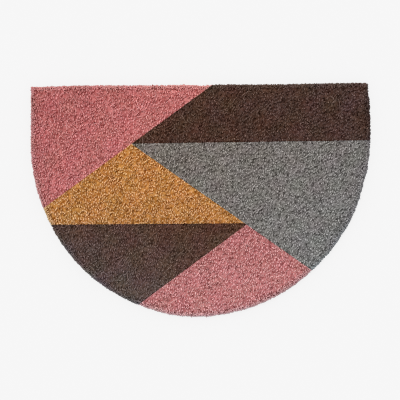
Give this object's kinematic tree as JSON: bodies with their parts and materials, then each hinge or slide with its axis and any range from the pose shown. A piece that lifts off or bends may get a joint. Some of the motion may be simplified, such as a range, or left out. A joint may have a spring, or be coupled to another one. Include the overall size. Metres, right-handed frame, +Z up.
{
  "type": "doormat",
  "caption": "Half-moon coir doormat with a flat printed face of straight-edged colour blocks and a thin backing, laid flat on the floor.",
  "frame": {"origin": "on the floor, under the middle of the mat's bounding box", "axes": "+Z up from the backing to the pile, +X along the straight back edge, +Y towards that edge"},
  "size_m": [0.6016, 0.4114, 0.015],
  "materials": {
    "coir_pile": "matte brushed coir",
    "pile_rose": "matte brushed coir, printed rose",
    "pile_ochre": "matte brushed coir, printed ochre",
    "pile_umber": "matte brushed coir, printed umber",
    "pile_grey": "matte brushed coir, printed grey",
    "backing": "matte vinyl"
  },
  "bodies": {
    "root": {"mat": "coir_pile"}
  },
  "joints": []
}
